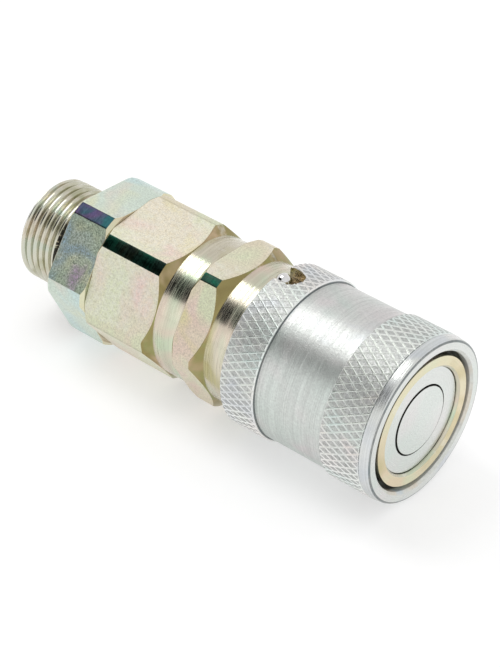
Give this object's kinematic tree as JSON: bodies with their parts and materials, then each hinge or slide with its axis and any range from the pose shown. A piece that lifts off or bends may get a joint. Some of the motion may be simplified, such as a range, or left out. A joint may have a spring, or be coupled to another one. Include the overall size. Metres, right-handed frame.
{
  "type": "quick disconnect coupler",
  "caption": "Female half of a flat-face hydraulic quick coupler: threaded port stud, hexagon bodies, knurled locking sleeve with a safety ball, and a push-in flat-face valve.",
  "frame": {"origin": "centre of the port seat: on the axis, in the plane of the adapter hexagon's rear face that shoulders on the port", "axes": "+X along the axis, out of the coupling face; +Z through the lock ball; the stud runs to -X"},
  "size_m": [0.1182, 0.042, 0.042],
  "materials": {
    "yellow_zinc_steel": "pale yellow iridescent zinc plating over turned and drawn steel",
    "silver_zinc_steel": "clear zinc plating over turned and knurled steel",
    "plain_steel": "plain machined steel",
    "spring_steel": "drawn spring wire",
    "ball_steel": "polished hardened balls",
    "black_rubber": "smooth moulded nitrile rubber",
    "white_ptfe": "skived white PTFE"
  },
  "bodies": {
    "coupler_body": {"port_adapter": "yellow_zinc_steel", "valve_housing": "yellow_zinc_steel", "socket_body": "yellow_zinc_steel", "valve_stem": "silver_zinc_steel", "stem_spider": "plain_steel", "stem_nut": "plain_steel", "stem_lock_washer": "plain_steel", "spring_seat": "plain_steel", "sleeve_stop_ring": "spring_steel", "sleeve_spring": "spring_steel", "valve_spring": "spring_steel", "locking_balls": "ball_steel", "lock_ball": "ball_steel", "port_o_ring": "black_rubber", "adapter_o_ring": "black_rubber", "housing_o_ring": "black_rubber", "probe_o_ring": "black_rubber", "stem_seal": "black_rubber", "housing_backup_ring": "white_ptfe", "probe_backup_ring": "white_ptfe"},
    "sleeve_carrier": {"thrust_washer": "plain_steel"},
    "locking_sleeve": {"locking_sleeve": "silver_zinc_steel"},
    "valve_sleeve": {"valve_sleeve": "silver_zinc_steel"}
  },
  "joints": [
    {"name": "sleeve_pull", "type": "slide", "parent": "coupler_body", "child": "sleeve_carrier", "axis": [-1, 0, 0], "range_m": [0, 0.0028], "stiffness_N_per_m": 3000, "springref_m": -0.008, "deforming": ["sleeve_spring"]},
    {"name": "sleeve_turn", "type": "hinge", "parent": "sleeve_carrier", "child": "locking_sleeve", "pos_m": [0.079, 0, 0], "axis": [1, 0, 0], "range_deg": [-2.5, 2.5]},
    {"name": "valve_push", "type": "slide", "parent": "coupler_body", "child": "valve_sleeve", "axis": [-1, 0, 0], "range_m": [0, 0.016], "stiffness_N_per_m": 3000, "springref_m": -0.008, "deforming": ["valve_spring"]}
  ]
}
